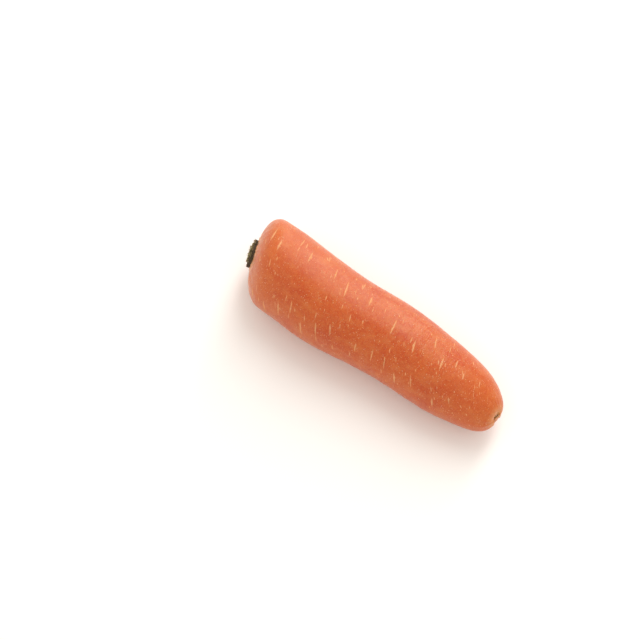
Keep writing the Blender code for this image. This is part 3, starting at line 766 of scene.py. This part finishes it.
def roll_crescents(tree, sizes):
    """One closed crescent for each stalk, standing on the floor of the well."""
    sheet = add_node(
        tree,
        "GeometryNodeMeshGrid",
        {"Size X": 1.0, "Size Y": 1.0, "Vertices X": FACES_ROUND + 1, "Vertices Y": FACES_ALONG + 1},
    )
    points = add_node(tree, "GeometryNodePoints", {"Count": sizes["Count"]})
    index = add_node(tree, "GeometryNodeInputIndex")
    points = add_node(
        tree, "GeometryNodeStoreNamedAttribute", {"Geometry": points, "Name": "stalk", "Value": index}
    )
    sheets = add_node(tree, "GeometryNodeInstanceOnPoints", {"Points": points, "Instance": sheet})
    sheets = add_node(tree, "GeometryNodeRealizeInstances", {0: sheets})
    place = add_node(tree, "GeometryNodeInputPosition")
    part = add_node(tree, "ShaderNodeSeparateXYZ", {0: place})
    round_share = add_node(tree, "ShaderNodeMath", {0: part.outputs["X"], 1: 0.5}, operation="ADD")
    arc = add_node(tree, "ShaderNodeMath", {0: part.outputs["Y"], 1: 2.0}, operation="MULTIPLY")

    # the cross-section's way round: out along the foot, up the outside, over the cut, down the inside
    loop = {"across": 0.0, "up": 0.0}
    for name, low, high, rise in (
        ("across", 0.0, 0.04, 1.0), ("across", 0.36, 0.64, -2.0), ("across", 0.96, 1.0, 1.0),
        ("up", 0.04, 0.40, 1.0), ("up", 0.60, 0.96, -1.0),
    ):
        step = add_node(tree, "ShaderNodeMapRange", {0: round_share, 1: low, 2: high, 3: 0.0, 4: rise})
        loop[name] = add_node(tree, "ShaderNodeMath", {0: step, 1: loop[name]}, operation="ADD")

    stalk = add_node(tree, "GeometryNodeInputNamedAttribute", {"Name": "stalk"})
    order = add_node(tree, "ShaderNodeMath", {0: stalk, 1: sizes["First"]}, operation="ADD")
    inside = add_node(
        tree,
        "ShaderNodeMath",
        {0: order, 1: sizes["Step"], 2: sizes["First radius"]},
        operation="MULTIPLY_ADD",
    )
    golden = add_node(
        tree,
        "ShaderNodeMath",
        {0: order, 1: -GOLDEN_ANGLE, 2: FIRST_STALK_ANGLE},
        operation="MULTIPLY_ADD",
    )
    angle = add_node(
        tree, "ShaderNodeMath", {0: arc, 1: sizes["Half angle"], 2: golden}, operation="MULTIPLY_ADD"
    )

    # thin at the two ends, with ribs that run up the stalk
    squared = add_node(tree, "ShaderNodeMath", {0: arc, 1: arc}, operation="MULTIPLY")
    full = add_node(tree, "ShaderNodeMath", {0: 1.0, 1: squared}, operation="SUBTRACT", use_clamp=True)
    full = add_node(tree, "ShaderNodeMath", {0: full, 1: END_TAPER}, operation="POWER")
    ribbed = add_node(tree, "ShaderNodeCombineXYZ", {"X": angle, "Y": loop["across"], "Z": order})
    rib = add_node(tree, "ShaderNodeTexNoise", {"Vector": ribbed, "Scale": RIB_SCALE, "Detail": 2.0})
    rib = add_node(tree, "ShaderNodeMapRange", {0: rib, 1: 0.3, 2: 0.7, 3: THINNEST_RIB, 4: 1.0})
    thick = add_node(tree, "ShaderNodeMath", {0: full, 1: rib}, operation="MULTIPLY")
    thick = add_node(tree, "ShaderNodeMath", {0: thick, 1: sizes["Thickness"]}, operation="MULTIPLY")
    outward = add_node(tree, "ShaderNodeMapRange", {0: loop["across"], 1: -1.0, 2: 1.0})
    radius = add_node(tree, "ShaderNodeMath", {0: outward, 1: thick, 2: inside}, operation="MULTIPLY_ADD")

    # the height of the cut, and how it is torn
    wave = add_node(tree, "ShaderNodeMath", {0: order, 1: 2.0}, operation="MULTIPLY")
    wave = add_node(tree, "ShaderNodeMath", {0: wave}, operation="SINE")
    height = add_node(
        tree,
        "ShaderNodeMath",
        {0: wave, 1: sizes["Height varies"], 2: sizes["Height"]},
        operation="MULTIPLY_ADD",
    )
    torn = add_node(tree, "ShaderNodeTexNoise", {"Vector": ribbed, "Scale": TEAR_SCALE, "Detail": 4.0})
    torn = add_node(tree, "ShaderNodeMapRange", {0: torn, 1: 0.35, 2: 0.75, 3: 0.0, 4: -1.0})
    # the two faces meet at the arc's ends, so the cut is level there
    off_ends = add_node(
        tree, "ShaderNodeMath", {0: full, 1: TEAR_STARTS}, operation="MULTIPLY", use_clamp=True
    )
    torn = add_node(tree, "ShaderNodeMath", {0: torn, 1: off_ends}, operation="MULTIPLY")
    height = add_node(
        tree, "ShaderNodeMath", {0: torn, 1: sizes["Ragged"], 2: height}, operation="MULTIPLY_ADD"
    )
    height = add_node(
        tree, "ShaderNodeMath", {0: loop["up"], 1: height, 2: GAP}, operation="MULTIPLY_ADD"
    )

    aside = add_node(tree, "ShaderNodeMath", {0: angle}, operation="COSINE")
    upward = add_node(tree, "ShaderNodeMath", {0: angle}, operation="SINE")
    spoke = add_node(tree, "ShaderNodeCombineXYZ", {"Y": aside, "Z": upward})
    spoke = add_node(tree, "ShaderNodeVectorMath", {0: spoke, "Scale": radius}, operation="SCALE")
    crownward = add_node(tree, "ShaderNodeMath", {0: height, 1: -1.0}, operation="MULTIPLY")
    rise = add_node(tree, "ShaderNodeCombineXYZ", {"X": crownward})
    landed = add_node(tree, "ShaderNodeVectorMath", {0: spoke, 1: rise}, operation="ADD")
    landed = add_node(
        tree,
        "ShaderNodeVectorRotate",
        {"Vector": landed, "Rotation": tuple(crown_turn)},
        rotation_type="EULER_XYZ",
    )
    landed = add_node(tree, "ShaderNodeVectorMath", {0: landed, 1: tuple(well_middle)}, operation="ADD")
    for name, value in (("arc", angle), ("across", loop["across"]), ("up", loop["up"]), ("order", order)):
        sheets = add_node(
            tree, "GeometryNodeStoreNamedAttribute", {"Geometry": sheets, "Name": name, "Value": value}
        )
    rolled = add_node(tree, "GeometryNodeSetPosition", {"Geometry": sheets, "Position": landed})
    return add_node(tree, "GeometryNodeMergeByDistance", {"Geometry": rolled, "Distance": JOIN_SKIN})


def fray(tree, crescents, count):
    """Loose strands, each a thin spike of a few faces, that lean out of the torn edges."""
    up = add_node(tree, "GeometryNodeInputNamedAttribute", {"Name": "up"})
    near_cut = add_node(
        tree, "FunctionNodeCompare", {0: up, 1: NEAR_CUT}, data_type="FLOAT", operation="GREATER_THAN"
    )
    strand = add_node(
        tree,
        "GeometryNodeMeshCone",
        {
            "Vertices": STRAND_SIDES, "Radius Top": STRAND_TOP, "Radius Bottom": STRAND_FOOT,
            "Depth": STRAND_LENGTH,
        },
    )
    places = add_node(
        tree,
        "GeometryNodeDistributePointsOnFaces",
        {"Mesh": crescents, "Selection": near_cut, "Density": STRAND_PLACES, "Seed": 3},
    )
    loose = add_node(
        tree,
        "FunctionNodeRandomValue",
        {0: (-STRAND_LEAN,) * 3, 1: (STRAND_LEAN,) * 3, "Seed": 4},
        data_type="FLOAT_VECTOR",
    )
    way = add_node(tree, "ShaderNodeVectorMath", {0: loose, 1: tuple(crown_outward)}, operation="ADD")
    turn = add_node(tree, "FunctionNodeAlignRotationToVector", {"Vector": way})
    length = add_node(
        tree, "FunctionNodeRandomValue", {2: SHORTEST, 3: LONGEST, "Seed": 6}, data_type="FLOAT"
    )
    size = add_node(tree, "ShaderNodeCombineXYZ", {"X": 1.0, "Y": 1.0, "Z": length})
    chosen = add_node(tree, "GeometryNodeInputIndex")
    chosen = add_node(
        tree, "FunctionNodeCompare", {0: chosen, 1: count}, data_type="FLOAT", operation="LESS_THAN"
    )
    strands = add_node(
        tree,
        "GeometryNodeInstanceOnPoints",
        {"Points": places, "Selection": chosen, "Instance": strand, "Rotation": turn, "Scale": size},
    )
    joined = tree.nodes.new("GeometryNodeJoinGeometry")
    tree.links.new(strands.outputs[0], joined.inputs[0])
    tree.links.new(crescents.outputs[0], joined.inputs[0])
    return joined


print("each crescent is a sheet of", FACES_ROUND, "by", FACES_ALONG, "faces")

# %% [markdown]
# ## What the leaf stalks are made of
#
# A leaf stalk is soft, stringy tissue: long pale strands in a green pith, inside a tougher rind. On the
# cut face the strands show as pale threads that follow the arc, and the rind as a dark rim. On the sides
# the dead rind is dark brown, nearly black, with pale flecks where it has split. Dry stalks have lost
# nearly all of the green.


# %% Leaf stalk material
def leaf_stalk(name, pith, strands, rind, flecks):
    """Cut petiole tissue: stringy pith on the cut face, and a dark, split rind on the sides."""
    material = bpy.data.materials.new(name)
    material.use_nodes = True
    tree = material.node_tree
    shader = tree.nodes["Principled BSDF"]
    read = {}
    for label in ("arc", "across", "up", "order"):
        read[label] = add_node(tree, "ShaderNodeAttribute", attribute_name=label).outputs["Fac"]

    # strands are long the way of the arc on the cut, and long the way up on the sides
    on_cut = add_node(tree, "ShaderNodeMapRange", {0: read["up"], 1: 0.93, 2: 0.985})
    inside_rim = add_node(tree, "ShaderNodeMath", {0: read["across"]}, operation="ABSOLUTE")
    inside_rim = add_node(tree, "ShaderNodeMapRange", {0: inside_rim, 1: 0.95, 2: 0.62})
    cut_face = add_node(tree, "ShaderNodeMath", {0: on_cut, 1: inside_rim}, operation="MULTIPLY")
    masks = {}
    # how close together along the arc, across and up, and the noise at which the mask starts and is full
    for label, scale, low, high in (
        ("threads", (3.0, 4.5, 1.0), 0.46, 0.62),
        ("shade", (1.5, 1.6, 0.4), 0.40, 0.66),
        ("splits", (34.0, 1.0, 2.4), 0.60, 0.70),
    ):
        place = add_node(
            tree, "ShaderNodeCombineXYZ", {"X": read["arc"], "Y": read["across"], "Z": read["up"]}
        )
        apart = add_node(tree, "ShaderNodeVectorMath", {0: place, 1: scale}, operation="MULTIPLY")
        noise = add_node(
            tree,
            "ShaderNodeTexNoise",
            {"Vector": apart, "W": read["order"], "Scale": 1.0, "Detail": 3.0},
            noise_dimensions="4D",
        )
        masks[label] = add_node(tree, "ShaderNodeMapRange", {0: noise, 1: low, 2: high})

    pith, strands, rind, flecks = (hex_colour(code) for code in (pith, strands, rind, flecks))
    cut = add_node(tree, "ShaderNodeMix", {0: masks["shade"], 6: pith, 7: rind}, data_type="RGBA")
    cut = add_node(tree, "ShaderNodeMix", {0: masks["threads"], 6: cut, 7: strands}, data_type="RGBA")
    side = add_node(tree, "ShaderNodeMix", {0: masks["splits"], 6: rind, 7: flecks}, data_type="RGBA")
    colour = add_node(tree, "ShaderNodeMix", {0: cut_face, 6: side, 7: cut}, data_type="RGBA")
    tree.links.new(colour.outputs[2], shader.inputs["Base Color"])

    relief = add_node(tree, "ShaderNodeMath", {0: masks["threads"], 1: masks["splits"]}, operation="ADD")
    bump = add_node(tree, "ShaderNodeBump", {"Height": relief, "Strength": 0.6, "Distance": 0.15 * MM})
    tree.links.new(bump.outputs[0], shader.inputs["Normal"])
    shader.inputs["Roughness"].default_value = 0.8
    return material


STALK_MATERIALS = {
    "fresh": leaf_stalk("fresh_petiole", "a59c64", "dbd09c", "5c4a2c", "c9b682"),
    "dry": leaf_stalk("dried_petiole", "7a6640", "bda777", "453320", "b59c6e"),
    "heart": leaf_stalk("young_petiole", "a3a05c", "d9d29a", "5d5630", "c0b67c"),
}

for piece_name, sizes, material, slot, nodes in (
    ("fresh_leaf_stalks", FRESH_SIZES, "fresh", "fresh_stalk", [f"leaf_stalk_{n}" for n in range(1, 6)]),
    ("dry_leaf_stalks", DRY_SIZES, "dry", "dry_stalk", [f"leaf_stalk_{n}" for n in range(6, 9)]),
    ("heart_bud_leaves", HEART_SIZES, "heart", "fresh_stalk", ["heart_bud"]),
):
    stalk_tree, stalk_inputs = new_geometry_tree("grow_" + piece_name, sizes)
    crescents = roll_crescents(stalk_tree, stalk_inputs)
    frayed = fray(stalk_tree, crescents, stalk_inputs["Fibres"])
    finish_tree(stalk_tree, frayed, STALK_MATERIALS[material])
    stalks = grow(piece_name, stalk_tree, sizes)
    stalks.data.shade_smooth()
    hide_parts(*nodes)
    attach(stalks, "root")
